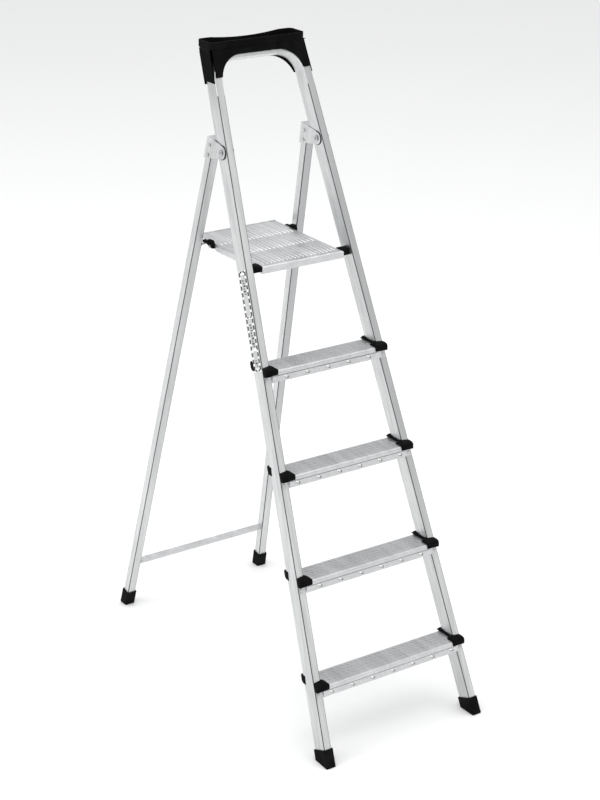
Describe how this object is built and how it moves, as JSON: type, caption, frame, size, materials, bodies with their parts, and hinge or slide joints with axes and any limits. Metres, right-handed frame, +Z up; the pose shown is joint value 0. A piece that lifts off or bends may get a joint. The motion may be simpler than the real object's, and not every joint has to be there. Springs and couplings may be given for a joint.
{
  "type": "step ladder",
  "caption": "Folding platform step ladder with a bent-tube front frame, pressed treads, a hinged rear frame, a tipping platform and a tool tray at the top.",
  "frame": {"origin": "on the floor, at the middle of the open ladder's outline", "axes": "+Z up, +Y from the climbing side to the rear legs, +X to the right of a person who stands facing the treads"},
  "size_m": [0.4592, 0.9722, 1.555],
  "materials": {
    "tube_steel": "satin light grey tube with a fine drawn grain",
    "pressed_sheet": "satin pressed sheet with embossed grip ribs",
    "rivet_steel": "plain steel rivet heads",
    "black_plastic": "moulded black plastic with a fine grain",
    "black_rubber": "dull black rubber",
    "printed_strip": null
  },
  "bodies": {
    "front_frame": {"front_foot_left": "black_rubber", "front_foot_right": "black_rubber", "front_frame_tube": "tube_steel", "pivot_rivet_left": "rivet_steel", "pivot_rivet_right": "rivet_steel", "platform_hinge_block_left": "black_plastic", "platform_hinge_block_right": "black_plastic", "platform_hinge_pin_left": "rivet_steel", "platform_hinge_pin_right": "rivet_steel", "rail_label": "printed_strip", "tool_tray_cap": "black_plastic", "tray_screws": "rivet_steel", "tread_1": "pressed_sheet", "tread_2": "pressed_sheet", "tread_3": "pressed_sheet", "tread_4": "pressed_sheet", "tread_cap_left_1": "black_plastic", "tread_cap_left_2": "black_plastic", "tread_cap_left_3": "black_plastic", "tread_cap_left_4": "black_plastic", "tread_cap_right_1": "black_plastic", "tread_cap_right_2": "black_plastic", "tread_cap_right_3": "black_plastic", "tread_cap_right_4": "black_plastic", "tread_rivets": "rivet_steel"},
    "rear_frame": {"bracket_rivets_left": "rivet_steel", "bracket_rivets_right": "rivet_steel", "crossbar_rivets": "rivet_steel", "hinge_bracket_left": "tube_steel", "hinge_bracket_right": "tube_steel", "pivot_washer_inner_left": "black_plastic", "pivot_washer_inner_right": "black_plastic", "pivot_washer_outer_left": "black_plastic", "pivot_washer_outer_right": "black_plastic", "platform_rod": "tube_steel", "rear_crossbar": "tube_steel", "rear_foot_left": "black_rubber", "rear_foot_right": "black_rubber", "rear_leg_left": "tube_steel", "rear_leg_right": "tube_steel", "rod_bush_left": "black_plastic", "rod_bush_right": "black_plastic"},
    "platform": {"clip_rivet_left": "rivet_steel", "clip_rivet_right": "rivet_steel", "platform_clip_left": "black_plastic", "platform_clip_right": "black_plastic", "platform_deck": "pressed_sheet"}
  },
  "joints": [
    {"name": "rear_frame_fold", "type": "hinge", "parent": "front_frame", "child": "rear_frame", "pos_m": [0, 0.10255, 1.3155], "axis": [1, 0, 0], "range_deg": [-36.8, 0]},
    {"name": "platform_fold", "type": "hinge", "parent": "front_frame", "child": "platform", "pos_m": [0, -0.00587, 1.0619], "axis": [1, 0, 0], "range_deg": [0, 66.5]}
  ]
}
